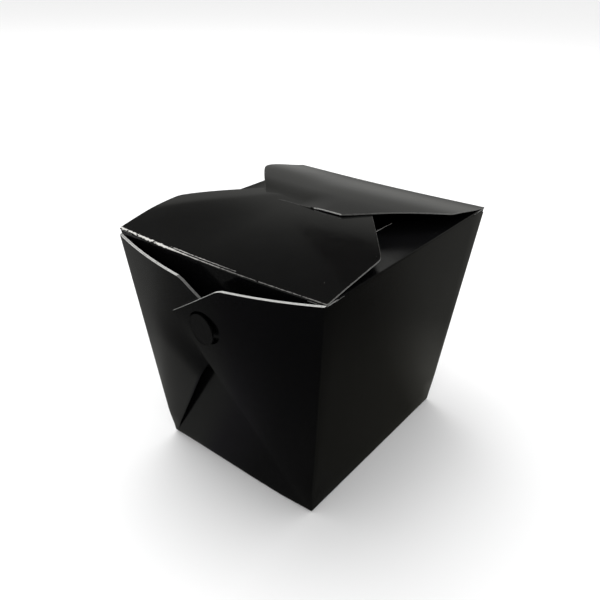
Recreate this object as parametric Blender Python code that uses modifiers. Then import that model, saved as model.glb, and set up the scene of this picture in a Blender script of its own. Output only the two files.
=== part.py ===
"""Noodle takeaway box: a tapered carton of thin black board with a folded lid.

Two lid flaps lie over two dust flaps, and each end has a pair of gussets with a lock tab.
Units are metres, +Z is up, and the origin is at the middle of the underside. The two gusset
ends face -Y and +Y, and the two plain sides face -X and +X.
"""

import math

import bmesh
import bpy
from mathutils import Matrix, Vector

MM = 0.001

# Driving dimensions of the carton, over the outside of the board.
TOP_X = 82.0 * MM
TOP_Y = 96.4 * MM
BOTTOM_X = 65.6 * MM
BOTTOM_Y = 79.4 * MM
HEIGHT = 83.7 * MM
BOARD = 0.42 * MM
GAP = 0.3 * MM
BOTTOM_RADIUS = 0.9 * MM
BEVEL_SEGMENTS = 3
SAME_PLACE = 0.05 * MM

# Each corner web is folded double into a gusset flap that lies against its end panel.
WEB_THICKNESS = 2 * BOARD
WEB_OUT_AT_CORNER = 0.8 * MM
WEB_APEX_CLEAR = 1.5 * MM
WEB_CORNER_INSET = 0.05 * MM
WEB_TOP_DROP = 0.85 * MM
WEB_SHOULDER_REACH = 85.3 * MM
WEB_SHOULDER_TURN = math.radians(22.5)
WEB_TIP_REACH = 81.0 * MM
WEB_STRIPS = 15
WEB_BEND_STEPS = 40
OVER_WEB_LIFT = (math.radians(18.2), math.radians(-4.2))
UNDER_WEB_LIFT = (math.radians(17.2), math.radians(-7.4))

# The round lock tab of the under gusset comes out through a hole in the over gusset.
LOCK_HOLE_RADIUS = 6.4 * MM
LOCK_TAB_RADIUS = 5.5 * MM
LOCK_TAB_DEPTH = 2.0 * MM
LOCK_TAB_TILT = math.radians(7.0)
LOCK_TAB_OUT = 7.0 * MM
LOCK_HOLE_DEPTH = 6.0 * MM
LOCK_HOLE_PLACE = (0.3 * MM, 64.3 * MM)
LOCK_TAB_PLACE = (-1.2 * MM, 63.7 * MM)
LOCK_SIDES = 24

# Lid flaps: width at the hinge, where the sides start to taper, and the nose.
FRONT_SHOULDER = 25.9 * MM
FRONT_NOSE = (20.0 * MM, 53.2 * MM)
FRONT_RISE = 5.66 * MM
FRONT_BEND = 1.7
BACK_SHOULDER = 26.7 * MM
BACK_NOSE = (16.2 * MM, 53.7 * MM)
BACK_RISE = 6.5 * MM
BACK_BENDS = (2, 3, 2.3)
LID_CORNER_RADIUS = 1.2 * MM

# Dust flaps: the hinge stops short of the corners, and the ends taper to the free edge.
DUST_END_INSET = 5.0 * MM
DUST_FREE_HALF = 13.7 * MM
DUST_REACH = 18.0 * MM
DUST_SINK = 0.6 * MM
DUST_SINK_REACH = 1.5 * MM

FLAP_STEPS = 18

END_LEAN = math.atan2((TOP_Y - BOTTOM_Y) / 2, HEIGHT)
END_SLOPE = math.hypot(HEIGHT, (TOP_Y - BOTTOM_Y) / 2)
SIDE_SLOPE = math.hypot(HEIGHT, (TOP_X - BOTTOM_X) / 2)
END_FLARE = math.atan2((TOP_X - BOTTOM_X) / 2, END_SLOPE)
SIDE_FLARE = math.atan2((TOP_Y - BOTTOM_Y) / 2, SIDE_SLOPE)
CORNER_EDGE = math.hypot(END_SLOPE, (TOP_X - BOTTOM_X) / 2)

# Flat, the bottom, the end, the side and the web share 360 degrees round each bottom corner.
WEB_TURN = (math.pi / 2 - END_FLARE - SIDE_FLARE) / 2


def clear_scene():
    for obj in list(bpy.data.objects):
        bpy.data.objects.remove(obj, do_unlink=True)


def new_collection(name):
    collection = bpy.data.collections.new(name)
    bpy.context.scene.collection.children.link(collection)
    return collection


def board_material(name, colour, roughness):
    material = bpy.data.materials.new(name)
    material.use_nodes = True
    shader = material.node_tree.nodes["Principled BSDF"]
    shader.inputs["Base Color"].default_value = (*colour, 1.0)
    shader.inputs["Roughness"].default_value = roughness
    shader.inputs["Metallic"].default_value = 0.0
    return material


def object_from(shape, name, collection, material=None):
    mesh = bpy.data.meshes.new(name)
    shape.to_mesh(mesh)
    shape.free()
    obj = bpy.data.objects.new(name, mesh)
    collection.objects.link(obj)
    if material:
        mesh.materials.append(material)
    return obj


def thicken(obj, thickness):
    solidify = obj.modifiers.new("board_thickness", "SOLIDIFY")
    solidify.thickness = thickness
    solidify.offset = -1.0
    solidify.use_even_offset = True


def helper(obj):
    obj.hide_render = True
    obj.display_type = "WIRE"
    return obj


def combine(obj, other, operation):
    boolean = obj.modifiers.new(f"{operation.lower()}_{other.name}", "BOOLEAN")
    boolean.operation = operation
    boolean.solver = "EXACT"
    boolean.object = other


def end_point(across, up, out):
    """A point of the front end: across it, up its slope from the bottom edge, and out from its face."""
    return Vector(
        (
            across,
            -BOTTOM_Y / 2 - up * math.sin(END_LEAN) - out * math.cos(END_LEAN),
            up * math.cos(END_LEAN) - out * math.sin(END_LEAN),
        )
    )


def cone_path(turn, lift):
    """Where a generator of the bent web points after this much turn about the bottom corner.

    The web bends as a cone. Its heading away from the end face falls evenly from lift[0] at the
    corner edge to lift[1] at the folded edge, and the result is (turn along the face, rise off it).
    """
    stride = turn / WEB_BEND_STEPS
    along = rise = 0.0
    for step in range(WEB_BEND_STEPS):
        heading = lift[0] + (lift[1] - lift[0]) * (step + 0.5) * stride / WEB_TURN
        rise += math.sin(heading) * stride
        along += math.cos(heading) / math.cos(rise) * stride
    return along, rise


def web_point(side, reach, turn, lift):
    """A point on the outside of a gusset flap, at this reach from its bottom corner."""
    along, rise = cone_path(turn, lift)
    angle = along - END_FLARE
    return end_point(
        side * (BOTTOM_X / 2 - WEB_CORNER_INSET - reach * math.cos(rise) * math.sin(angle)),
        reach * math.cos(rise) * math.cos(angle),
        reach * math.sin(rise) + WEB_OUT_AT_CORNER,
    )


def web_reach(turn):
    """How far the cut top edge of the flat web is from the bottom corner, in two straight cuts."""
    ends = (
        (0.0, CORNER_EDGE - WEB_TOP_DROP),
        (WEB_SHOULDER_TURN, WEB_SHOULDER_REACH),
        (WEB_TURN, WEB_TIP_REACH),
    )
    first, last = (ends[0], ends[1]) if turn <= WEB_SHOULDER_TURN else (ends[1], ends[2])
    between = last[0] - first[0]
    return (
        first[1]
        * last[1]
        * math.sin(between)
        / (first[1] * math.sin(turn - first[0]) + last[1] * math.sin(last[0] - turn))
    )


def make_web(name, side, lift, collection):
    """One gusset flap of the front end: side is +1 for the +X corner and -1 for the -X corner."""
    shape = bmesh.new()
    bmesh.ops.create_grid(shape, x_segments=WEB_STRIPS, y_segments=1, size=1.0)
    for vert in shape.verts:
        turn = WEB_TURN * (vert.co.x + 1) / 2
        reach = web_reach(turn) if vert.co.y > 0 else WEB_APEX_CLEAR
        vert.co = web_point(side, reach, turn, lift)
    if side > 0:
        bmesh.ops.reverse_faces(shape, faces=shape.faces[:])
    web = object_from(shape, name, collection)
    thicken(web, WEB_THICKNESS)
    return web


def lock_disc(name, radius, depth, place, out, tilt, collection):
    """A short round plug standing square to the front end, then tilted about its up direction."""
    shape = bmesh.new()
    bmesh.ops.create_cone(
        shape, cap_ends=True, segments=LOCK_SIDES, radius1=radius, radius2=radius, depth=depth
    )
    disc = object_from(shape, name, collection)
    disc.location = end_point(*place, out)
    disc.rotation_euler = (math.pi / 2 - END_LEAN, 0.0, tilt)
    return disc


def turned_copy(obj, name, collection):
    """The same piece at the back end, half a turn about the vertical middle line."""
    copy = obj.copy()
    copy.name = name
    collection.objects.link(copy)
    copy.matrix_world = Matrix.Rotation(math.pi, 4, "Z") @ obj.matrix_basis
    return copy


def make_walls(collection, material):
    """The bottom, two ends and two sides, as one open tapered tray."""
    shape = bmesh.new()
    bmesh.ops.create_cube(shape, size=1.0)
    wall_top = HEIGHT - BOARD - GAP
    grown = wall_top / HEIGHT
    for vert in shape.verts:
        top = vert.co.z > 0
        width = BOTTOM_X + (TOP_X - BOTTOM_X) * grown if top else BOTTOM_X
        length = BOTTOM_Y + (TOP_Y - BOTTOM_Y) * grown if top else BOTTOM_Y
        vert.co = Vector((vert.co.x * width, vert.co.y * length, wall_top if top else 0.0))
    lid = [face for face in shape.faces if face.normal.z > 0.9]
    bmesh.ops.delete(shape, geom=lid, context="FACES_ONLY")
    bottom_edges = [
        edge for edge in shape.edges if all(vert.co.z < SAME_PLACE for vert in edge.verts)
    ]
    bmesh.ops.bevel(
        shape,
        geom=bottom_edges,
        offset=BOTTOM_RADIUS,
        segments=BEVEL_SEGMENTS,
        profile=0.5,
        affect="EDGES",
        material=-1,
    )
    walls = object_from(shape, "carton", collection, material)
    thicken(walls, BOARD)
    return walls


def make_carton(parts, cutters, material):
    carton = make_walls(parts, material)
    over = helper(make_web("over_gusset_front", 1, OVER_WEB_LIFT, cutters))
    under = helper(make_web("under_gusset_front", -1, UNDER_WEB_LIFT, cutters))
    hole = helper(
        lock_disc(
            "lock_hole",
            LOCK_HOLE_RADIUS,
            LOCK_HOLE_DEPTH,
            LOCK_HOLE_PLACE,
            LOCK_TAB_OUT,
            0.0,
            cutters,
        )
    )
    combine(over, hole, "DIFFERENCE")
    tab = helper(
        lock_disc(
            "lock_tab_front",
            LOCK_TAB_RADIUS,
            LOCK_TAB_DEPTH,
            LOCK_TAB_PLACE,
            LOCK_TAB_OUT - LOCK_TAB_DEPTH / 2,
            LOCK_TAB_TILT,
            cutters,
        )
    )
    folds = [over, under, tab]
    folds += [
        helper(turned_copy(fold, fold.name.replace("front", "back"), cutters)) for fold in folds
    ]
    for fold in folds:
        combine(carton, fold, "UNION")
    return carton


def front_height(reach):
    """Height of the front lid flap's top face over its hinge line, this far in from the hinge."""
    left = max(1 - reach / FRONT_NOSE[1], 0.0)
    return FRONT_RISE * (1 - left**FRONT_BEND)


def back_height(reach):
    """Height of the back lid flap's top face: it climbs, then flattens over the front flap."""
    even, late, settle = BACK_BENDS
    left = max(1 - reach / BACK_NOSE[1], 0.0)
    return BACK_RISE * ((1 - left**even) + (1 - left**late) ** settle) / 2


def dust_height(reach):
    """A dust flap turns down by a board's thickness, to pass under the lid flaps."""
    return -DUST_SINK * (1 - math.exp(-reach / DUST_SINK_REACH))


def make_flap(name, half_hinge, shoulder, nose, height, collection, material):
    """A cut and bent flap whose hinge line is its local X axis and which reaches along local Y.

    shoulder is how far in the sides run square to the hinge, and nose is (half width, reach).
    A flap whose sides taper from the hinge itself, with no shoulder, keeps its sharp corners.
    """
    shape = bmesh.new()
    bmesh.ops.create_grid(shape, x_segments=1, y_segments=FLAP_STEPS, size=1.0)
    for vert in shape.verts:
        vert.co = Vector((vert.co.x * half_hinge, (vert.co.y + 1) / 2 * nose[1], 0.0))
    for side in (-1, 1):
        start = Vector((side * half_hinge, shoulder, 0.0))
        end = Vector((side * nose[0], nose[1], 0.0))
        along = end - start
        outward = Vector((side * along.y, -side * along.x, 0.0)).normalized()
        bmesh.ops.bisect_plane(
            shape,
            geom=shape.verts[:] + shape.edges[:] + shape.faces[:],
            plane_co=start,
            plane_no=outward,
            clear_outer=True,
        )
    corners = [
        vert
        for vert in shape.verts
        for across, reach in ((nose[0], nose[1]), (half_hinge, shoulder))
        if shoulder and math.hypot(abs(vert.co.x) - across, vert.co.y - reach) < SAME_PLACE
    ]
    if corners:
        bmesh.ops.bevel(
            shape,
            geom=corners,
            offset=LID_CORNER_RADIUS,
            segments=BEVEL_SEGMENTS,
            profile=0.5,
            affect="VERTICES",
            material=-1,
        )
    for vert in shape.verts:
        vert.co.z = BOARD + height(vert.co.y)
    flap = object_from(shape, name, collection, material)
    thicken(flap, BOARD)
    return flap


def hang(flap, hinge_x, hinge_y, turn):
    """Puts a flap's hinge line on the rim: turn is the heading of its reach from +Y."""
    flap.location = (hinge_x, hinge_y, HEIGHT - BOARD)
    flap.rotation_euler = (0.0, 0.0, turn)


def make_flaps(parts, lid_material, dust_material):
    front = make_flap(
        "lid_flap_front",
        TOP_X / 2,
        FRONT_SHOULDER,
        FRONT_NOSE,
        front_height,
        parts,
        lid_material,
    )
    hang(front, 0.0, -TOP_Y / 2, 0.0)
    back = make_flap(
        "lid_flap_back",
        TOP_X / 2,
        BACK_SHOULDER,
        BACK_NOSE,
        back_height,
        parts,
        lid_material,
    )
    hang(back, 0.0, TOP_Y / 2, math.pi)
    for name, side in (("dust_flap_right", 1), ("dust_flap_left", -1)):
        dust = make_flap(
            name,
            TOP_Y / 2 - DUST_END_INSET,
            0.0,
            (DUST_FREE_HALF, DUST_REACH),
            dust_height,
            parts,
            dust_material,
        )
        hang(dust, side * TOP_X / 2, 0.0, side * math.pi / 2)


def main():
    clear_scene()
    parts = new_collection("noodle_takeaway_box")
    cutters = new_collection("cutters")
    carton_board = board_material("carton_board", (0.012, 0.012, 0.013), 0.36)
    lid_board = board_material("lid_board", (0.014, 0.014, 0.015), 0.28)
    dust_board = board_material("dust_board", (0.013, 0.013, 0.014), 0.32)
    make_carton(parts, cutters, carton_board)
    make_flaps(parts, lid_board, dust_board)
    bpy.context.view_layer.update()


main()
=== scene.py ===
# %% [markdown]
# # A black noodle takeaway box
# The box is one sheet of thin board, black on both faces with a white core. It is folded up into a
# tapered tray, its corner webs are folded double against the two ends, and four flaps close the top.
# It could be made as one mesh that bends at every crease. But its flaps swing as stiff panels, so
# each flap is a piece of its own, which rides on its own body of the imported model. That model is
# loaded first: it gives the bodies that move, and the solids that the pieces here stand in for.

# %% The imported model
import math
import bmesh
import bpy
from mathutils import Matrix, Vector


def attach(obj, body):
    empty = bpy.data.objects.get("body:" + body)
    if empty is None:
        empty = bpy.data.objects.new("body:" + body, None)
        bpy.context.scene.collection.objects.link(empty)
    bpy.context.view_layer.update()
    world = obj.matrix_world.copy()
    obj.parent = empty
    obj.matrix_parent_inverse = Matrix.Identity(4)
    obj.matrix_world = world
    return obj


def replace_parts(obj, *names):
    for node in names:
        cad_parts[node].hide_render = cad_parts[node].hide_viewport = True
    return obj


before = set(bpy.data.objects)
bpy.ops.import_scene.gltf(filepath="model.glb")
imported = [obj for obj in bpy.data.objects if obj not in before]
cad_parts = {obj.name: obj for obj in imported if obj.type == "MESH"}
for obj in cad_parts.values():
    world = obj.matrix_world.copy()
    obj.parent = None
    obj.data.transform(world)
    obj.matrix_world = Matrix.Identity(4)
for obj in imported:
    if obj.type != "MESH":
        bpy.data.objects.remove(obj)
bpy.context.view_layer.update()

# %% [markdown]
# ## The measures of the box
# A folding box is set out by a few lengths of its blank: the rim, the bottom, the height and the
# board. Each slope and angle could be measured too, but then they might not agree. So they are
# worked out from those lengths, in metres, which are the ones that the solids were built from.

# %% Measures
MM = 0.001
TOP_X, TOP_Y = 82.0 * MM, 96.4 * MM
BOTTOM_X, BOTTOM_Y = 65.6 * MM, 79.4 * MM
HEIGHT = 83.7 * MM
BOARD = 0.42 * MM
GAP = 0.3 * MM

END_LEAN = math.atan2((TOP_Y - BOTTOM_Y) / 2, HEIGHT)
END_SLOPE = math.hypot(HEIGHT, (TOP_Y - BOTTOM_Y) / 2)
SIDE_LEAN = math.atan2((TOP_X - BOTTOM_X) / 2, HEIGHT)
SIDE_SLOPE = math.hypot(HEIGHT, (TOP_X - BOTTOM_X) / 2)
END_FLARE = math.atan2((TOP_X - BOTTOM_X) / 2, END_SLOPE)
SIDE_FLARE = math.atan2((TOP_Y - BOTTOM_Y) / 2, SIDE_SLOPE)
CORNER_EDGE = math.hypot(END_SLOPE, (TOP_X - BOTTOM_X) / 2)
WEB_TURN = (math.pi / 2 - END_FLARE - SIDE_FLARE) / 2
print("corner edge", round(CORNER_EDGE / MM, 1), "mm, web", round(math.degrees(WEB_TURN), 1), "degrees")

# %% [markdown]
# ## The camera
# The camera was fitted to six corners of the box in the photograph. It stands in front and to the
# right, looks down by 28 degrees and leans a little. A Track To constraint could aim it, but would
# keep it level. A camera in Blender looks along its own -Z, so its turns are stacked instead: first
# the lean about that axis, then the tilt, then the heading.

# %% Camera
CAMERA_PLACE = Vector((0.1212, -0.1638, 0.1594))
CAMERA_HEADING, CAMERA_DOWN, CAMERA_LEAN = (math.radians(angle) for angle in (37.50, 27.88, 1.10))
camera = bpy.data.objects.new("camera", bpy.data.cameras.new("camera"))
camera.data.lens = 38.09
camera.data.sensor_width = 36.0
camera.data.clip_start = 0.01
camera.matrix_world = (
    Matrix.Translation(CAMERA_PLACE)
    @ Matrix.Rotation(CAMERA_HEADING, 4, "Z")
    @ Matrix.Rotation(math.pi / 2 - CAMERA_DOWN, 4, "X")
    @ Matrix.Rotation(CAMERA_LEAN, 4, "Z")
)
bpy.context.scene.collection.objects.link(camera)
bpy.context.scene.camera = camera
bpy.context.scene.view_settings.view_transform = "Standard"
print("camera at", [round(value, 3) for value in camera.location])

# %% [markdown]
# ## Shader node groups
# Three effects are used by several finishes. They could be drawn anew in each material, but a node
# group is built once, and each material places it with its own values. The first is the skin of
# printed board: broad waves where the board isn't quite flat, a fine grain, and patches of more and
# less gloss. The second scatters the few specks of lint that black board always shows. The third is
# a line where the ink has cracked off and the board shows through, along a crease or a cut edge.

# %% Helpers for nodes
def new_group(name, inputs, outputs):
    """An empty node group with these (name, socket type, default) inputs and outputs."""
    tree = bpy.data.node_groups.new(name, "ShaderNodeTree")
    for label, kind, value in inputs:
        socket = tree.interface.new_socket(name=label, in_out="INPUT", socket_type=kind)
        if value is not None:
            socket.default_value = value
    for label, kind in outputs:
        tree.interface.new_socket(name=label, in_out="OUTPUT", socket_type=kind)
    return tree, tree.nodes.new("NodeGroupInput"), tree.nodes.new("NodeGroupOutput")


def wire(tree, *links):
    for start, end in links:
        tree.links.new(start, end)


def feed(tree, socket, value):
    """Sets a socket to a plain value, or links it to the output that brings one."""
    if isinstance(value, bpy.types.NodeSocket):
        tree.links.new(value, socket)
    else:
        socket.default_value = value


def use_group(tree, group, values):
    """The outputs of a node that places this group, with a value or an output for each input."""
    node = tree.nodes.new("ShaderNodeGroup")
    node.node_tree = group
    for label, value in values.items():
        feed(tree, node.inputs[label], value)
    return node.outputs


def noise(tree, place, size, detail):
    """A noise whose features are about this many metres across."""
    node = tree.nodes.new("ShaderNodeTexNoise")
    node.inputs["Scale"].default_value = 1 / size
    node.inputs["Detail"].default_value = detail
    wire(tree, (place, node.inputs["Vector"]))
    return node.outputs["Fac"]


def combined(tree, operation, first, second=0.0):
    """What a Math node makes of two values, each a number or an output."""
    node = tree.nodes.new("ShaderNodeMath")
    node.operation = operation
    for socket, value in zip(node.inputs, (first, second)):
        feed(tree, socket, value)
    return node.outputs["Value"]


def ranged(tree, value, low, high, to_low=0.0, to_high=1.0):
    """The value moved from one range to another and held at its ends."""
    node = tree.nodes.new("ShaderNodeMapRange")
    wire(tree, (value, node.inputs["Value"]))
    for label, number in (
        ("From Min", low), ("From Max", high), ("To Min", to_low), ("To Max", to_high)
    ):
        feed(tree, node.inputs[label], number)
    return node.outputs["Result"]


def mixed(tree, share, first, second):
    """A blend of two colours, each a colour or an output."""
    node = tree.nodes.new("ShaderNodeMix")
    node.data_type = "RGBA"
    for label, value in (("Factor", share), ("A", first), ("B", second)):
        feed(tree, node.inputs[label], value)
    return node.outputs["Result"]


# %% Printed board
WAVE_SIZE, PATCH_SIZE, GRAIN_SIZE = 22 * MM, 6 * MM, 0.55 * MM
WAVE_SHARE = 3.0


def board_skin_group():
    """Waves and grain for the relief, and patches for the gloss."""
    tree, start, end = new_group(
        "board_skin",
        (
            ("Vector", "NodeSocketVector", None),
            ("Rough low", "NodeSocketFloat", 0.25),
            ("Rough high", "NodeSocketFloat", 0.35),
        ),
        (("Roughness", "NodeSocketFloat"), ("Height", "NodeSocketFloat")),
    )
    place = start.outputs["Vector"]
    waves = combined(tree, "MULTIPLY", noise(tree, place, WAVE_SIZE, 1.0), WAVE_SHARE)
    height = combined(tree, "ADD", waves, noise(tree, place, GRAIN_SIZE, 3.0))
    rough = ranged(
        tree, noise(tree, place, PATCH_SIZE, 4.0), 0.3, 0.7,
        start.outputs["Rough low"], start.outputs["Rough high"],
    )
    wire(tree, (rough, end.inputs["Roughness"]), (height, end.inputs["Height"]))
    return tree


board_skin = board_skin_group()
print("board skin:", len(board_skin.nodes), "nodes")

# %% Lint and dust
LINT_CELL = 5 * MM


def lint_group():
    """A speck in the middle of some cells, each with a size of its own."""
    tree, start, end = new_group(
        "lint",
        (("Vector", "NodeSocketVector", None), ("Amount", "NodeSocketFloat", 0.03)),
        (("Mask", "NodeSocketFloat"),),
    )
    cells = tree.nodes.new("ShaderNodeTexVoronoi")
    cells.inputs["Scale"].default_value = 1 / LINT_CELL
    chance = tree.nodes.new("ShaderNodeSeparateColor")
    wire(
        tree,
        (start.outputs["Vector"], cells.inputs["Vector"]),
        (cells.outputs["Color"], chance.inputs["Color"]),
    )
    size = combined(tree, "MULTIPLY", start.outputs["Amount"], chance.outputs["Red"])
    spot = combined(tree, "LESS_THAN", cells.outputs["Distance"], size)
    few = combined(tree, "GREATER_THAN", chance.outputs["Green"], 0.6)
    wire(tree, (combined(tree, "MULTIPLY", spot, few), end.inputs["Mask"]))
    return tree


lint = lint_group()
print("lint:", len(lint.nodes), "nodes")

# %% Lines of bare board
RAGGED_SIZE, FLAKE_SIZE = 0.8 * MM, 1.3 * MM


def worn_line_group():
    """A line where the distance is nothing: its sides are ragged, and flakes of it are missing."""
    tree, start, end = new_group(
        "worn_line",
        (
            ("Vector", "NodeSocketVector", None),
            ("Distance", "NodeSocketFloat", 1.0),
            ("Width", "NodeSocketFloat", 0.3 * MM),
            ("Cover", "NodeSocketFloat", 0.5),
        ),
        (("Mask", "NodeSocketFloat"),),
    )
    place = start.outputs["Vector"]
    ragged = ranged(tree, noise(tree, place, RAGGED_SIZE, 3.0), 0.35, 0.65, 0.4, 1.5)
    reach = combined(tree, "MULTIPLY", start.outputs["Width"], ragged)
    near = ranged(tree, start.outputs["Distance"], reach, combined(tree, "MULTIPLY", reach, 0.6))
    lost = ranged(tree, start.outputs["Cover"], 0.0, 1.0, 0.72, 0.22)
    flakes = noise(tree, place, FLAKE_SIZE, 4.0)
    bare = ranged(tree, flakes, lost, combined(tree, "ADD", lost, 0.08))
    wire(tree, (combined(tree, "MULTIPLY", near, bare), end.inputs["Mask"]))
    return tree


worn_line = worn_line_group()
print("worn line:", len(worn_line.nodes), "nodes")

# %% [markdown]
# ## The finishes
# Black board with a printed film is nearly black, so almost all of what the eye sees on it is the
# reflection of the room. Its gloss matters more than its colour, and the film on the lid flaps is
# glossier than on the walls. Where the sheet was cut, its white core shows as a bright thin line,
# clean on the gussets. On most edges of the flaps, and where the under gusset runs beneath the over
# one, the core is a dim grey instead: painted shade for cut edges that lie in shade. The wear could
# be painted in an image. Here each point of a flap carries how far it is from the crease and from
# the cut, so that a worn line stays at its place when the flap's shape changes.

# %% Wear along creases and edges
FIRST_LINE, SECOND_LINE = 0.55 * MM, 1.35 * MM
CRACKED_WIDTH, FINE_WIDTH, DUST_EDGE_WIDTH = 0.43 * MM, 0.16 * MM, 0.34 * MM
LID_EDGE_SHARE = 0.1


def mark(tree, name):
    """A measure that the piece carries at each of its points, in metres."""
    node = tree.nodes.new("ShaderNodeAttribute")
    node.attribute_name = name
    return node.outputs["Fac"]


def worn(tree, place, distance, width, cover):
    values = {"Vector": place, "Distance": distance, "Width": width, "Cover": cover}
    return use_group(tree, worn_line, values)["Mask"]


def off_line(tree, distance, line):
    """How far a measure is from this value, on either side of it."""
    return combined(tree, "ABSOLUTE", combined(tree, "SUBTRACT", distance, line))


def lid_wear(tree, place):
    """The crease is worn most at the left; farther on it is two fine lines and then one."""
    parts = tree.nodes.new("ShaderNodeSeparateXYZ")
    wire(tree, (place, parts.inputs["Vector"]))
    across = parts.outputs["X"]
    crease = mark(tree, "from_crease")
    first = worn(
        tree, place, off_line(tree, crease, FIRST_LINE),
        ranged(tree, across, -20 * MM, -9 * MM, CRACKED_WIDTH, FINE_WIDTH),
        ranged(tree, across, -14 * MM, 8 * MM, 0.72, 0.80),
    )
    second = worn(
        tree, place, off_line(tree, crease, SECOND_LINE), FINE_WIDTH,
        ranged(tree, off_line(tree, across, -3 * MM), 10 * MM, 17 * MM, 0.8, 0.0),
    )
    faded = ranged(tree, across, -18 * MM, 8 * MM, 1.0, 0.2)
    lines = combined(tree, "MULTIPLY", combined(tree, "MAXIMUM", first, second), faded)
    edge = worn(tree, place, mark(tree, "from_cut"), FINE_WIDTH, 0.7)
    return combined(tree, "MAXIMUM", lines, combined(tree, "MULTIPLY", edge, LID_EDGE_SHARE))


def dust_wear(tree, place):
    return worn(tree, place, mark(tree, "from_cut"), DUST_EDGE_WIDTH, 0.9)


# %% Board and core materials
LINT_AMOUNT, LINT_COLOUR = 0.035, (0.12, 0.12, 0.11, 1.0)
BARE_COLOUR, BARE_ROUGHNESS = (0.64, 0.63, 0.60, 1.0), 0.85
FIBRE_SIZE = 0.4 * MM


def new_material(name, values):
    """A material whose shader has these values, the same all over, on its own sockets."""
    material = bpy.data.materials.new(name)
    material.use_nodes = True
    shader = material.node_tree.nodes["Principled BSDF"]
    for label, value in values.items():
        shader.inputs[label].default_value = value
    return material, material.node_tree, shader


def printed_board(name, colour, rough, gloss, bump, wear=None):
    """Black film on board: rough is a pair, gloss the specular level, bump the height in metres."""
    material, tree, shader = new_material(name, {"Specular IOR Level": gloss})
    place = tree.nodes.new("ShaderNodeTexCoord").outputs["Object"]
    skin = use_group(tree, board_skin, {"Vector": place, "Rough low": rough[0], "Rough high": rough[1]})
    specks = use_group(tree, lint, {"Vector": place, "Amount": LINT_AMOUNT})["Mask"]
    tint = mixed(tree, specks, (*colour, 1.0), LINT_COLOUR)
    roughness = skin["Roughness"]
    if wear:
        bare = wear(tree, place)
        tint = mixed(tree, bare, tint, BARE_COLOUR)
        dull = combined(tree, "MULTIPLY", bare, BARE_ROUGHNESS)
        roughness = combined(tree, "MAXIMUM", roughness, dull)
    relief = tree.nodes.new("ShaderNodeBump")
    relief.inputs["Distance"].default_value = bump
    wire(
        tree,
        (skin["Height"], relief.inputs["Height"]),
        (relief.outputs["Normal"], shader.inputs["Normal"]),
        (tint, shader.inputs["Base Color"]),
        (roughness, shader.inputs["Roughness"]),
    )
    return material


def core_board(name, dark, light):
    """The middle of the board, with short darker fibres."""
    material, tree, shader = new_material(name, {"Roughness": 0.85, "Specular IOR Level": 0.2})
    place = tree.nodes.new("ShaderNodeTexCoord").outputs["Object"]
    fibres = ranged(tree, noise(tree, place, FIBRE_SIZE, 4.0), 0.3, 0.5)
    shade = mixed(
        tree, fibres, (dark, dark, 0.96 * dark, 1.0), (light, light, 0.97 * light, 1.0)
    )
    wire(tree, (shade, shader.inputs["Base Color"]))
    return material


wall_board = printed_board("wall_film", (0.0018, 0.0018, 0.0020), (0.14, 0.22), 0.40, 0.008 * MM)
lid_board = printed_board(
    "lid_film", (0.0035, 0.0035, 0.0035), (0.09, 0.15), 0.40, 0.005 * MM, lid_wear
)
dust_board = printed_board(
    "dust_film", (0.003, 0.003, 0.0033), (0.15, 0.23), 0.55, 0.012 * MM, dust_wear
)
white_core = core_board("white_core", 0.27, 0.49)
# A dim grey core that stands in for cut edges lying in shade: painted shade.
painted_shade_core = core_board("painted_shade_core", 0.06, 0.13)
print("finishes:", [material.name for material in bpy.data.materials])

# %% [markdown]
# ## Working with sheets
# Every piece is folded from the same thin board, so one pair of helpers makes them all. A panel
# could be a thin block that is then bent, but its two faces wouldn't stay one board apart. So
# `sheet` lays out a flat grid and moves each point to its place, and `board_piece` thickens it with
# a Solidify modifier, which can put the rim in a second material. Each face of that rim is then
# looked at: it is the film where the real sheet is folded there, and where it was cut it is the
# clean core, or the dim core that paints the shade on cut edges in shade.

# %% Sheet helpers
# The third rim finish is the dim core: painted shade on cut edges that lie in shade.
FILM, CLEAN_CUT, PAINTED_SHADE_CUT = range(3)
SHARP_FROM = math.radians(40)


def smoothstep(low, high, value):
    share = min(max((value - low) / (high - low), 0.0), 1.0)
    return share * share * (3 - 2 * share)


def sheet(columns, rows, place, towards=None, marks=()):
    """A grid of points that place(u, v) puts in space, with its faces turned towards a direction.

    marks are pairs of a name and a function of (u, v), a measure that each point then carries.
    """
    shape = bmesh.new()
    bmesh.ops.create_grid(shape, x_segments=columns, y_segments=rows, size=1.0)
    layers = [(shape.verts.layers.float.new(name), measure) for name, measure in marks]
    for vert in shape.verts:
        u, v = (vert.co.x + 1) / 2, (vert.co.y + 1) / 2
        for layer, measure in layers:
            vert[layer] = measure(u, v)
        vert.co = place(u, v)
    if towards:
        shape.faces.ensure_lookup_table()
        shape.normal_update()
        face = shape.faces[len(shape.faces) // 2]
        if face.normal.dot(Vector(towards)) < 0:
            bmesh.ops.reverse_faces(shape, faces=shape.faces[:])
    return shape


def new_object(name, shape, *materials):
    """An object of this shape in the scene, with these materials."""
    mesh = bpy.data.meshes.new(name)
    shape.to_mesh(mesh)
    shape.free()
    for material in materials:
        mesh.materials.append(material)
    piece = bpy.data.objects.new(name, mesh)
    bpy.context.scene.collection.objects.link(piece)
    return piece


def finish_mesh(piece):
    """Turns the modified shape into plain mesh, with soft shading except at sharp edges."""
    bpy.context.view_layer.update()
    graph = bpy.context.evaluated_depsgraph_get()
    done = bpy.data.meshes.new_from_object(piece.evaluated_get(graph))
    done.name = piece.name
    piece.modifiers.clear()
    piece.data = done
    for face in done.polygons:
        face.use_smooth = True
    done.set_sharp_from_angle(angle=SHARP_FROM)


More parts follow.
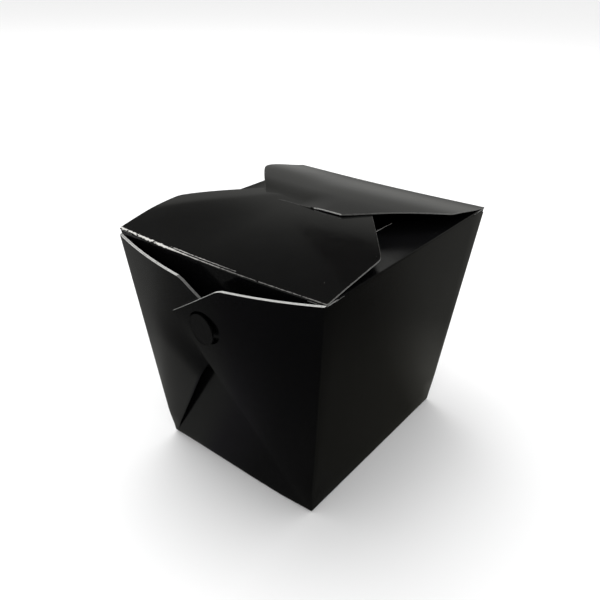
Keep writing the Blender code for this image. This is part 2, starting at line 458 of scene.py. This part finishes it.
def board_piece(name, shape, film, body, rim):
    """An object of this sheet with a board's thickness behind it; rim(face) says what a rim face is."""
    piece = new_object(name, shape, film, white_core, painted_shade_core)
    solidify = piece.modifiers.new("thickness", "SOLIDIFY")
    solidify.thickness = BOARD
    solidify.offset = -1.0
    solidify.use_even_offset = True
    solidify.use_rim = True
    solidify.material_offset_rim = 1
    finish_mesh(piece)
    for face in piece.data.polygons:
        if face.material_index:
            face.material_index = rim(face)
    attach(piece, body)
    return piece


# %% [markdown]
# ## The tray
# The bottom, the two ends and the two sides are one tapered tray. Five separate panels would leave
# open corners, so it starts as a cube that is wider at the top. The top face is deleted, the folds
# are bevelled round, and straight cuts through the walls give them enough points to bend. The front
# wall bows out a little at the rim, where the lid flap pulls on it, and the back wall and the left
# side bow in. The foot of each end bulges too.

# %% Tray
WALL_TOP = HEIGHT - BOARD - GAP
FOLD_RADIUS, BOTTOM_RADIUS = 0.5 * MM, 0.9 * MM
SIDE_CUT = 5.0 * MM
WALL_LEVELS, ACROSS_STEP, ALONG_STEP = 14, 5.0 * MM, 8.0 * MM
FRONT_BOW, BACK_BOW, LEFT_BOW, FOOT_BOW = 1.65 * MM, -1.3 * MM, -2.4 * MM, 1.0 * MM
BOWED_FROM, FOOT_TO = 0.35 * HEIGHT, 0.3 * HEIGHT
NEAR_WALL = 0.6 * MM


def crease_bow(x, y):
    """How far the lid crease at this end stands out from straight, this far across the box."""
    bow = FRONT_BOW if y < 0 else BACK_BOW
    return bow * max(1 - (x / (TOP_X / 2)) ** 2, 0.0) ** 1.3


def left_bow(y):
    """How far the crease of the left dust flap stands out, which is inwards."""
    return LEFT_BOW * max(1 - (y / (TOP_Y / 2)) ** 2, 0.0)


def foot_bow(x, z):
    """How far the foot of the front end stands out: most near its right corner."""
    across = smoothstep(-0.5 * BOTTOM_X, 0.35 * BOTTOM_X, x)
    across -= 0.55 * smoothstep(0.3 * BOTTOM_X, 0.5 * BOTTOM_X, x)
    return FOOT_BOW * across * (1 - smoothstep(0.0, FOOT_TO, z))


def bowed(point):
    """Where a point of the flat tray lies once the walls are bowed."""
    x, y, z = point
    if abs(y) > BOTTOM_Y / 2 + z * math.tan(END_LEAN) - NEAR_WALL:
        end = -1 if y < 0 else 1
        out = crease_bow(x, y) * smoothstep(BOWED_FROM, HEIGHT, z) ** 1.5
        y += end * (out + foot_bow(-end * x, z))
    if x < -BOTTOM_X / 2 - z * math.tan(SIDE_LEAN) + NEAR_WALL:
        x -= left_bow(point.y) * smoothstep(BOWED_FROM, HEIGHT, z)
    return Vector((x, y, z))


def tray_rim(face):
    """The rim is a crease all round, but for the last bit of each side, where it was cut."""
    x, y = abs(face.center.x), abs(face.center.y)
    return FILM if x < 0.45 * TOP_X or y < TOP_Y / 2 - SIDE_CUT else CLEAN_CUT


def make_tray():
    shape = bmesh.new()
    bmesh.ops.create_cube(shape, size=1.0)
    grown = WALL_TOP / HEIGHT
    for vert in shape.verts:
        top = vert.co.z > 0
        width = BOTTOM_X + (TOP_X - BOTTOM_X) * grown if top else BOTTOM_X
        length = BOTTOM_Y + (TOP_Y - BOTTOM_Y) * grown if top else BOTTOM_Y
        vert.co = Vector((vert.co.x * width, vert.co.y * length, WALL_TOP if top else 0.0))
    top = [face for face in shape.faces if face.normal.z > 0.9]
    bmesh.ops.delete(shape, geom=top, context="FACES_ONLY")
    for radius, low in ((BOTTOM_RADIUS, True), (FOLD_RADIUS, False)):
        edges = [
            edge
            for edge in shape.edges
            if (max(vert.co.z for vert in edge.verts) < MM) == low
            and abs(edge.verts[0].co.z - edge.verts[1].co.z) > (0 if low else 0.5 * HEIGHT) - MM
            and not all(vert.co.z > WALL_TOP - MM for vert in edge.verts)
        ]
        bmesh.ops.bevel(
            shape, geom=edges, offset=radius, segments=4, profile=0.5, affect="EDGES", material=-1
        )
    cuts = [(Vector((0, 0, 1)), step * WALL_TOP / WALL_LEVELS) for step in range(1, WALL_LEVELS)]
    cuts += [(Vector((1, 0, 0)), step * ACROSS_STEP) for step in range(-8, 9)]
    cuts += [(Vector((0, 1, 0)), step * ALONG_STEP) for step in range(-5, 6)]
    for normal, distance in cuts:
        bmesh.ops.bisect_plane(
            shape,
            geom=shape.verts[:] + shape.edges[:] + shape.faces[:],
            plane_co=normal * distance,
            plane_no=normal,
        )
    for vert in shape.verts:
        vert.co = bowed(vert.co)
    return board_piece("tray", shape, wall_board, "box", tray_rim)


tray = make_tray()
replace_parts(tray, "carton")
print("tray faces:", len(tray.data.polygons))

# %% [markdown]
# ## The gussets
# At each corner the web between an end and a side is folded double and laid against the end. It
# springs out from there as part of a cone about the bottom corner, because flat board bends only
# that way. It could be two flat layers side by side, but then its top edge would lack the double
# white line. So each gusset is one sheet that comes round the corner of the box, runs out along the
# outer layer, round the fold, which is pressed nearly sharp, and back along the inner layer. Low
# down the free half of the under gusset is turned back and stands off more, which leaves a dark
# wedge beside it.

# %% Gusset shape
WEB_OUT_AT_CORNER = 0.8 * MM
WEB_APEX_CLEAR = 0.8 * MM
WEB_CORNER_INSET = 0.05 * MM
# Each of these is a pair: for the over gusset and for the under gusset.
OVER, UNDER = 0, 1
WEB_SIDE = (1, -1)
WEB_LIFT = (
    (math.radians(18.2), math.radians(-4.2)),
    (math.radians(17.2), math.radians(-7.4)),
)
WEB_CUT = (
    ((0.0, 84.2 * MM), (math.radians(22.2), 84.7 * MM), (WEB_TURN, 80.8 * MM)),
    ((0.0, 82.6 * MM), (math.radians(23.8), 84.3 * MM), (WEB_TURN, 81.0 * MM)),
)
WEB_FREE_RISE = (0.0, math.radians(2.3))
WEB_FREE_TURN = (0.0, math.radians(2.1))
# From where to where along the web the free half comes back to the cone.
WEB_RISE_END, WEB_TURN_END = (49 * MM, 62 * MM), (57 * MM, 66 * MM)
CONE_STEPS = 40
# How near to the middle of the end the under gusset's cut, covered there by the over gusset, gets the
# dim core of painted shade.
PAINTED_SHADE_WITHIN = 9 * MM


def end_point(across, up, out):
    """A point of the front end: across it, up its slope, and out from its face."""
    return Vector(
        (
            across,
            -BOTTOM_Y / 2 - up * math.sin(END_LEAN) - out * math.cos(END_LEAN),
            up * math.cos(END_LEAN) - out * math.sin(END_LEAN),
        )
    )


def cone_path(turn, which):
    """Turn along the end wall, and rise off it, of the web's straight line at this turn."""
    lift = WEB_LIFT[which]
    stride = turn / CONE_STEPS
    along = rise = 0.0
    for step in range(CONE_STEPS):
        heading = lift[0] + (lift[1] - lift[0]) * (step + 0.5) * stride / WEB_TURN
        rise += math.sin(heading) * stride
        along += math.cos(heading) / math.cos(rise) * stride
    return along, rise


def web_point(which, reach, turn):
    """A point of the web's outer face, this far from the bottom corner and turned this far."""
    along, rise = cone_path(turn, which)
    free = (turn / WEB_TURN) ** 2
    rise += WEB_FREE_RISE[which] * free * (1 - smoothstep(*WEB_RISE_END, reach))
    angle = along - END_FLARE
    angle -= WEB_FREE_TURN[which] * free * (1 - smoothstep(*WEB_TURN_END, reach))
    point = end_point(
        WEB_SIDE[which]
        * (BOTTOM_X / 2 - WEB_CORNER_INSET - reach * math.cos(rise) * math.sin(angle)),
        reach * math.cos(rise) * math.cos(angle),
        reach * math.sin(rise) + WEB_OUT_AT_CORNER * smoothstep(0.0, 12 * MM, reach),
    )
    point.y -= foot_bow(point.x, point.z)
    return point


def web_reach(turn, which):
    """How far the cut top edge is from the bottom corner, along two straight cuts."""
    corner, shoulder, tip = WEB_CUT[which]
    first, last = (corner, shoulder) if turn <= shoulder[0] else (shoulder, tip)
    return (
        first[1]
        * last[1]
        * math.sin(last[0] - first[0])
        / (first[1] * math.sin(turn - first[0]) + last[1] * math.sin(last[0] - turn))
    )


fold_top = web_point(OVER, web_reach(WEB_TURN, OVER), WEB_TURN)
print("top of the over gusset's fold in mm:", [round(value / MM, 1) for value in fold_top])

# %% Gusset sheets
WRAP_COLUMNS, LAYER_COLUMNS, FOLD_COLUMNS, WEB_ROWS = 4, 24, 2, 30
WEB_COLUMNS = WRAP_COLUMNS + 2 * LAYER_COLUMNS + FOLD_COLUMNS
CORNER_WRAP, WRAP_BACK = 0.5 * MM, 1.35 * MM
PRESSED = 2 * BOARD + 0.02 * MM
CORNER_SPREAD = 0.15 * MM


def gusset_place(which):
    """The function that puts a point of the doubled sheet in space."""
    inward = Vector((0, math.cos(END_LEAN), math.sin(END_LEAN)))

    def spot(turn, v):
        reach = WEB_APEX_CLEAR + (web_reach(turn, which) - WEB_APEX_CLEAR) * v
        return reach, web_point(which, reach, turn)

    def place(u, v):
        column = round(u * WEB_COLUMNS) - WRAP_COLUMNS
        reach, corner = spot(0.0, v)
        first_turn = min(CORNER_WRAP / reach, 0.15)
        if column < 0:
            if column == -WRAP_COLUMNS:
                return corner + inward * WRAP_BACK
            share = (column + WRAP_COLUMNS - 1) / (WRAP_COLUMNS - 1)
            start, end = corner + inward * CORNER_WRAP, spot(first_turn, v)[1]
            return start * (1 - share) ** 2 + corner * 2 * share * (1 - share) + end * share**2
        fold = min(max(column - LAYER_COLUMNS, 0), FOLD_COLUMNS) / FOLD_COLUMNS * math.pi
        back = 2 * LAYER_COLUMNS + FOLD_COLUMNS - column
        layer = min(column, back, LAYER_COLUMNS) / LAYER_COLUMNS
        turn = first_turn + (WEB_TURN - first_turn) * layer
        reach, point = spot(turn, v)
        depth = PRESSED + CORNER_SPREAD * (1 - layer) * v
        ahead = (point - web_point(which, reach, turn - 0.01)).normalized()
        return point + ahead * depth / 2 * math.sin(fold) + inward * depth / 2 * (1 - math.cos(fold))

    return place


HALF_TURN = Matrix.Rotation(math.pi, 4, "Z")


def make_gusset(name, which, back):
    shape = sheet(WEB_COLUMNS, WEB_ROWS, gusset_place(which))
    shape.normal_update()
    first = min(shape.faces, key=lambda face: face.calc_center_median().y)
    if first.normal.y > 0:
        bmesh.ops.reverse_faces(shape, faces=shape.faces[:])
    corner = end_point(WEB_SIDE[which] * BOTTOM_X / 2, 0.0, 0.0)
    if back:
        shape.transform(HALF_TURN)
        corner = HALF_TURN @ corner

    def gusset_rim(face):
        """Only the top edge, which faces away from the bottom corner, was cut."""
        away = face.normal.dot((face.center - corner).normalized())
        if away < 0.7:
            return FILM
        # Where the over gusset covers it, the under gusset's cut gets the dim core: painted shade.
        covered = which == UNDER and abs(face.center.x) < PAINTED_SHADE_WITHIN
        return PAINTED_SHADE_CUT if covered else CLEAN_CUT

    return board_piece(name, shape, wall_board, "box", gusset_rim)


gussets = {}
for end, back in (("front", False), ("back", True)):
    gussets["over " + end] = make_gusset("over_gusset_" + end, OVER, back)
    gussets["under " + end] = make_gusset("under_gusset_" + end, UNDER, back)
print("gusset faces:", {label: len(piece.data.polygons) for label, piece in gussets.items()})

# %% [markdown]
# ## The round locks
# A round tab of the layer beneath is pushed out through a round hole in the over gusset, and holds
# the two gussets of an end together. The hole could be drawn into the sheet's grid, but its edge
# would be coarse, so a Boolean modifier cuts it with a cylinder. The tab is a thin disc with a
# bevelled edge. It lies flush at its lower left and stands off at its upper right, so the dark hole
# shows beside it as a crescent.

# %% Lock holes and tabs
LOCK_HOLE_RADIUS, LOCK_HOLE_DEPTH = 5.6 * MM, 6.0 * MM
LOCK_HOLE_PLACE, LOCK_HOLE_OUT = (1.4 * MM, 65.7 * MM), 7.0 * MM
LOCK_TAB_RADIUS, LOCK_TAB_DEPTH, LOCK_TAB_ROUND = 5.1 * MM, 0.42 * MM, 0.12 * MM
LOCK_TAB_PLACE, LOCK_TAB_OUT = (0.7 * MM, 65.2 * MM), 7.9 * MM
LOCK_TAB_TILTS = (math.radians(9.0), math.radians(-5.0))


def lock_disc(radius, depth, place, out, tilts, back):
    """A short cylinder square to the end wall, then tilted about its across and up directions."""
    shape = bmesh.new()
    bmesh.ops.create_cone(
        shape, cap_ends=True, segments=64, radius1=radius, radius2=radius, depth=depth
    )
    upright = Matrix.Rotation(math.pi / 2 - END_LEAN + tilts[0], 4, "X")
    shape.transform(
        Matrix.Translation(end_point(*place, out)) @ upright @ Matrix.Rotation(tilts[1], 4, "Y")
    )
    if back:
        shape.transform(HALF_TURN)
    return shape


def cut_lock_hole(gusset, back):
    cutter = new_object(
        "lock_hole",
        lock_disc(LOCK_HOLE_RADIUS, LOCK_HOLE_DEPTH, LOCK_HOLE_PLACE, LOCK_HOLE_OUT, (0, 0), back),
    )
    hole = gusset.modifiers.new("hole", "BOOLEAN")
    hole.operation = "DIFFERENCE"
    hole.solver = "EXACT"
    hole.object = cutter
    finish_mesh(gusset)
    bpy.data.objects.remove(cutter)


def make_lock_tab(name, back):
    shape = lock_disc(
        LOCK_TAB_RADIUS, LOCK_TAB_DEPTH, LOCK_TAB_PLACE, LOCK_TAB_OUT - LOCK_TAB_DEPTH / 2,
        LOCK_TAB_TILTS, back,
    )
    rims = [
        edge
        for edge in shape.edges
        if any(len(face.verts) > 4 for face in edge.link_faces)
    ]
    bmesh.ops.bevel(
        shape, geom=rims, offset=LOCK_TAB_ROUND, segments=3, profile=0.5, affect="EDGES", material=-1
    )
    tab = new_object(name, shape, wall_board)
    finish_mesh(tab)
    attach(tab, "box")
    return tab


for end, back in (("front", False), ("back", True)):
    cut_lock_hole(gussets["over " + end], back)
    tab = make_lock_tab("lock_tab_" + end, back)
    print(tab.name, "faces:", len(tab.data.polygons))

# %% [markdown]
# ## The lid flaps
# Each lid flap is a sheet that starts at its crease, runs square for half its length and then tapers
# to a nose. A flat plate could be bent with a Simple Deform modifier, but one flap bulges on its
# left and has a slanting bend, and the other is tucked in at its nose. So a grid is laid out as wide
# as the flap is at each distance from the crease, and each point is lifted by a function.

# %% Lid flaps
FRONT_SHOULDER, FRONT_NOSE = 25.9 * MM, (20.0 * MM, 53.2 * MM)
FRONT_RISE, FRONT_BEND, FRONT_BULGE = 5.66 * MM, 1.7, 1.2 * MM
BACK_SHOULDER, BACK_NOSE = 26.7 * MM, (16.2 * MM, 53.7 * MM)
BACK_RISE, BACK_BENDS = 6.5 * MM, (2, 3, 2.3)
BACK_BULGE, BACK_BULGE_REACH = 1.0 * MM, 48 * MM
# The bend line of the front flap: a point on it, the way across it, and how the margin drops there.
BEND_PLACE, BEND_ACROSS = (-18 * MM, TOP_Y / 2 - 6 * MM), (-0.78, 0.625)
MARGIN_SLOPE, MARGIN_SOFT = 0.085, 0.8 * MM
# How deep the nose of the back flap is pressed in all along and more at the left, and from where.
TUCK, LEFT_TUCK, TUCK_FROM = 0.35 * MM, 0.8 * MM, 0.72
TUCKED_LEFT_OF = 5 * MM
SOFT_SHOULDER, CRISP_SHOULDER, NOSE_CORNER = 5.0 * MM, 1.2 * MM, 0.5 * MM
CREASE_ROUND, CREASE_ROWS, LID_ROWS, LID_COLUMNS = 0.5 * MM, 4, 64, 48


def front_height(reach):
    left = max(1 - reach / FRONT_NOSE[1], 0.0)
    return FRONT_RISE * (1 - left**FRONT_BEND)


def back_height(reach):
    even, late, settle = BACK_BENDS
    left = max(1 - reach / BACK_NOSE[1], 0.0)
    return BACK_RISE * ((1 - left**even) + (1 - left**late) ** settle) / 2


def half_width(reach, half_hinge, shoulder, nose, rounding):
    """Half the flap's width this far in, with the shoulder's corner taken off in a soft curve."""
    slope = (half_hinge - nose[0]) / (nose[1] - shoulder)
    past = reach - shoulder
    soft = (past + math.sqrt(past * past + rounding * rounding)) / 2
    return half_hinge - slope * soft


def crease_path(v, length):
    """How far in, how far down and how far along the sheet a row lies: the first rows go round."""
    row = round(v * LID_ROWS)
    if row < CREASE_ROWS:
        turn = row / CREASE_ROWS * math.pi / 2
        return (
            CREASE_ROUND * (1 - math.cos(turn)),
            CREASE_ROUND * (1 - math.sin(turn)),
            CREASE_ROUND * turn,
        )
    share = (row - CREASE_ROWS) / (LID_ROWS - CREASE_ROWS)
    reach = CREASE_ROUND + (length - CREASE_ROUND) * share
    return reach, 0.0, reach + CREASE_ROUND * (math.pi / 2 - 1)


def make_lid(name, facing, shoulder, nose, rounds, lift, body, rim):
    """facing is +1 for the flap that reaches towards +Y and -1 for the one that reaches back.

    rounds are how soft its shoulders are, at -X and at +X.
    """

    def half(u, v):
        reach = crease_path(v, nose[1])[0]
        return half_width(reach, TOP_X / 2, shoulder, nose, rounds[0 if u < 0.5 else 1])

    def place(u, v):
        reach, drop, _ = crease_path(v, nose[1])
        x = (2 * u - 1) * half(u, v)
        bow = crease_bow(x, -facing) * (1 - reach / nose[1]) ** 2
        reach -= NOSE_CORNER * abs(2 * u - 1) ** 40 * v**12
        y = facing * (reach - bow - TOP_Y / 2)
        return Vector((x, y, HEIGHT + lift(x, reach) - drop))

    def from_cut(u, v):
        side = (1 - abs(2 * u - 1)) * half(u, v)
        return min(side, nose[1] - crease_path(v, nose[1])[0])

    marks = (("from_crease", lambda u, v: crease_path(v, nose[1])[2]), ("from_cut", from_cut))
    shape = sheet(LID_COLUMNS, LID_ROWS, place, towards=(0, 0, 1), marks=marks)
    return board_piece(name, shape, lid_board, body, rim)


def arch(share):
    """Nothing at both ends of a flap and one halfway."""
    return math.sin(math.pi * min(max(share, 0.0), 1.0))


def front_lift(x, reach):
    """The left half bulges up, and the margin past the slanting bend line drops away."""
    bulge = FRONT_BULGE * smoothstep(-5 * MM, -TOP_X / 2, x) * arch(reach / FRONT_NOSE[1])
    past = BEND_ACROSS[0] * (x - BEND_PLACE[0]) + BEND_ACROSS[1] * (reach - BEND_PLACE[1])
    margin = MARGIN_SLOPE * (past + math.hypot(past, MARGIN_SOFT)) / 2
    return front_height(reach) + bulge - margin


def back_lift(x, reach):
    """The left shoulder bulges up, and the left half of the nose is tucked into the front flap."""
    bulge = BACK_BULGE * smoothstep(-8 * MM, -TOP_X / 2, x) * arch(reach / BACK_BULGE_REACH)
    left = 1 - smoothstep(-2 * MM, 9 * MM, x)
    tuck = (TUCK + LEFT_TUCK * left) * smoothstep(TUCK_FROM, 1.0, reach / BACK_NOSE[1])
    return back_height(reach) + bulge - tuck


def front_lid_rim(face):
    # Its cut edges get the dim core, which is painted shade.
    return FILM if face.center.y < -TOP_Y / 2 + CREASE_ROUND else PAINTED_SHADE_CUT


def back_lid_rim(face):
    """Its nose is tucked on the left, so no white shows there."""
    if face.center.y > TOP_Y / 2 + BACK_BOW - CREASE_ROUND or face.center.x < TUCKED_LEFT_OF:
        return FILM
    # The edge of the nose that faces the front shows the clean core; the other cut edges get the dim
    # core, which is painted shade.
    return CLEAN_CUT if face.normal.y < -0.9 else PAINTED_SHADE_CUT


front_lid = make_lid(
    "front_lid_flap", 1, FRONT_SHOULDER, FRONT_NOSE, (CRISP_SHOULDER, CRISP_SHOULDER),
    front_lift, "front_lid", front_lid_rim,
)
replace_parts(front_lid, "lid_flap_front")
back_lid = make_lid(
    "back_lid_flap", -1, BACK_SHOULDER, BACK_NOSE, (SOFT_SHOULDER, CRISP_SHOULDER),
    back_lift, "back_lid", back_lid_rim,
)
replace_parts(back_lid, "lid_flap_back")
print("lid flap faces:", len(front_lid.data.polygons), len(back_lid.data.polygons))

# %% [markdown]
# ## The dust flaps
# Under the lid, a short flap folds in from the top of each side. It tapers from its crease to its
# free edge, and dips just inside the crease by the thickness of the lid that lies on it. A flat
# plate would do for its outline, but its film is glossy, so the dip shows as a change of tone near
# the crease. So it is laid out as a grid too. Its free edge carries a line of bare board.

# %% Dust flaps
DUST_END_INSET, DUST_FREE_HALF, DUST_REACH = 5.0 * MM, 13.7 * MM, 18.0 * MM
DUST_SINK, DUST_SINK_REACH = 0.6 * MM, 3.5 * MM
DUST_COLUMNS, DUST_ROWS = 40, 36


def dust_height(reach):
    return -DUST_SINK * (1 - math.exp(-reach / DUST_SINK_REACH))


def make_dust_flap(name, side, node, body):
    half_hinge = TOP_Y / 2 - DUST_END_INSET

    def place(u, v):
        reach = v * DUST_REACH
        y = (2 * u - 1) * (half_hinge + (DUST_FREE_HALF - half_hinge) * v)
        bow = left_bow(y) * (1 - v) if side < 0 else 0.0
        return Vector((side * (TOP_X / 2 + bow - reach), y, HEIGHT + dust_height(reach)))

    def dust_rim(face):
        """Only the free edge, which faces the middle of the box, shows its cut."""
        # The free edge lies under the lid and gets the dim core, which is painted shade.
        return PAINTED_SHADE_CUT if side * face.normal.x < -0.95 else FILM

    marks = (("from_cut", lambda u, v: (1 - v) * DUST_REACH),)
    shape = sheet(DUST_COLUMNS, DUST_ROWS, place, towards=(0, 0, 1), marks=marks)
    piece = board_piece(name, shape, dust_board, body, dust_rim)
    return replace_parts(piece, node)


for name, side, node, body in (
    ("right_dust_flap", 1, "dust_flap_right", "right_dust_flap"),
    ("left_dust_flap", -1, "dust_flap_left", "left_dust_flap"),
):
    flap = make_dust_flap(name, side, node, body)
    print(name, "faces:", len(flap.data.polygons))

# %% [markdown]
# ## Floor and light
# The box stands on a plain pale floor under soft light from all round. Glossy black board shows
# only what it mirrors. Cards and lamps could be set up all round for that, but they would also
# light the floor, so the mirrored room is set apart with the Light Path node. In it the floor has
# its own grey in each direction round the box, and half of that in a ring from 11 to 25 cm off its
# middle. The room is grey up to half its height and dark above, and one dark card hangs where the
# front lid flap mirrors it.

# %% Floor, room and lamp
def ramp_of(tree, value, stops):
    """Colours between these (place, colour) stops, picked by a value from 0 to 1."""
    ramp = tree.nodes.new("ShaderNodeValToRGB")
    while len(ramp.color_ramp.elements) < len(stops):
        ramp.color_ramp.elements.new(0.5)
    for element, (place, colour) in zip(ramp.color_ramp.elements, stops):
        element.position = place
        element.color = (*colour, 1.0)
    wire(tree, (value, ramp.inputs["Fac"]))
    return ramp.outputs["Color"]


MIRRORED_FLOOR = (
    (-180, (0.28, 0.28, 0.28)),
    (-165, (0.36, 0.36, 0.345)),
    (-152, (0.38, 0.38, 0.365)),
    (-143, (0.20, 0.20, 0.19)),
    (-134, (0.155, 0.155, 0.148)),
    (-118, (0.135, 0.137, 0.130)),
    (-108, (0.085, 0.082, 0.090)),
    (-84, (0.045, 0.045, 0.045)),
    (-18, (0.045, 0.045, 0.038)),
    (25, (0.052, 0.051, 0.043)),
    (39, (0.056, 0.055, 0.046)),
    (48, (0.108, 0.106, 0.093)),
    (56, (0.210, 0.208, 0.188)),
    (90, (0.28, 0.28, 0.265)),
    (180, (0.28, 0.28, 0.28)),
)
MIRRORED_ROOM = (
    (0.0, (0.30, 0.30, 0.292)),
    (0.04, (0.28, 0.28, 0.272)),
    (0.09, (0.24, 0.24, 0.23)),
    (0.15, (0.23, 0.23, 0.22)),
    (0.24, (0.25, 0.25, 0.24)),
    (0.36, (0.26, 0.26, 0.25)),
    (0.45, (0.225, 0.225, 0.212)),
    (0.52, (0.112, 0.112, 0.106)),
    (0.60, (0.060, 0.060, 0.057)),
    (0.68, (0.047, 0.047, 0.044)),
    (1.0, (0.13, 0.13, 0.125)),
)
NEAR_BOX, FAR_OFF = (70 * MM, 112 * MM), (250 * MM, 500 * MM)
FLOOR_RADIUS, ROOM_LIGHT = 6.0, (1.02, 1.02, 1.02, 1.0)
DARK_CARD_HEIGHT = 0.6
DARK_CARD_CORNERS = ((-0.585, 0.657), (-0.15, 0.226), (0.02, 0.28), (0.02, 0.86))


def glossy_ray(tree):
    """1 where a mirror looks and 0 where the camera or the light does."""
    return tree.nodes.new("ShaderNodeLightPath").outputs["Is Glossy Ray"]


def floor_paper():
    """Pale paper, which mirrors see in the tones of MIRRORED_FLOOR."""
    material, tree, shader = new_material(
        "floor_paper",
        {"Base Color": (0.90, 0.90, 0.90, 1.0), "Roughness": 0.9, "Specular IOR Level": 0.1},
    )
    place = tree.nodes.new("ShaderNodeTexCoord").outputs["Object"]
    round_box = tree.nodes.new("ShaderNodeTexGradient")
    round_box.gradient_type = "RADIAL"
    away = tree.nodes.new("ShaderNodeVectorMath")
    away.operation = "LENGTH"
    wire(tree, (place, round_box.inputs["Vector"]), (place, away.inputs[0]))
    stops = tuple(((angle + 180) / 360, colour) for angle, colour in MIRRORED_FLOOR)
    near = ranged(tree, away.outputs["Value"], *NEAR_BOX, 1.0, 0.5)
    beyond = ranged(tree, away.outputs["Value"], *FAR_OFF, 1.0, 2.2)
    glow = tree.nodes.new("ShaderNodeEmission")
    pick = tree.nodes.new("ShaderNodeMixShader")
    wire(
        tree,
        (ramp_of(tree, round_box.outputs["Fac"], stops), glow.inputs["Color"]),
        (combined(tree, "MULTIPLY", near, beyond), glow.inputs["Strength"]),
        (glossy_ray(tree), pick.inputs["Fac"]),
        (shader.outputs["BSDF"], pick.inputs[1]),
        (glow.outputs["Emission"], pick.inputs[2]),
        (pick.outputs["Shader"], tree.nodes["Material Output"].inputs["Surface"]),
    )
    return material


def make_floor():
    shape = bmesh.new()
    bmesh.ops.create_circle(shape, cap_ends=True, segments=96, radius=FLOOR_RADIUS)
    floor = new_object("floor", shape, floor_paper())


def make_dark_card():
    """A dark card high up behind, on the left, that only glossy board can see."""
    shape = bmesh.new()
    corners = [shape.verts.new((x, y, DARK_CARD_HEIGHT)) for x, y in DARK_CARD_CORNERS]
    bmesh.ops.contextual_create(shape, geom=corners)
    dull_black = new_material(
        "dark_card",
        {"Base Color": (0.02, 0.018, 0.017, 1.0), "Roughness": 1.0, "Specular IOR Level": 0.0},
    )[0]
    card = new_object("dark_card", shape, dull_black)
    card.visible_camera = card.visible_diffuse = False
    card.visible_shadow = card.visible_transmission = False


def light_room():
    """Even white light from all round, which mirrors see in the tones of MIRRORED_ROOM."""
    world = bpy.data.worlds.new("room")
    world.use_nodes = True
    tree = world.node_tree
    background = tree.nodes["Background"]
    background.inputs["Strength"].default_value = 1.0
    direction = tree.nodes.new("ShaderNodeTexCoord")
    parts = tree.nodes.new("ShaderNodeSeparateXYZ")
    wire(tree, (direction.outputs["Generated"], parts.inputs["Vector"]))
    mirrored = ramp_of(tree, parts.outputs["Z"], MIRRORED_ROOM)
    wire(
        tree, (mixed(tree, glossy_ray(tree), ROOM_LIGHT, mirrored), background.inputs["Color"])
    )
    bpy.context.scene.world = world


def add_lamp(name, place, size, power):
    lamp = bpy.data.objects.new(name, bpy.data.lights.new(name, "AREA"))
    lamp.data.shape = "SQUARE"
    lamp.data.size = size
    lamp.data.energy = power
    lamp.location = place
    lamp.rotation_euler = (Vector((0, 0, 0.04)) - Vector(place)).to_track_quat("-Z", "Y").to_euler()
    lamp.visible_glossy = False
    bpy.context.scene.collection.objects.link(lamp)


make_floor()
make_dark_card()
light_room()
add_lamp("overhead", (-0.5, 0.2, 1.3), 1.0, 9.0)
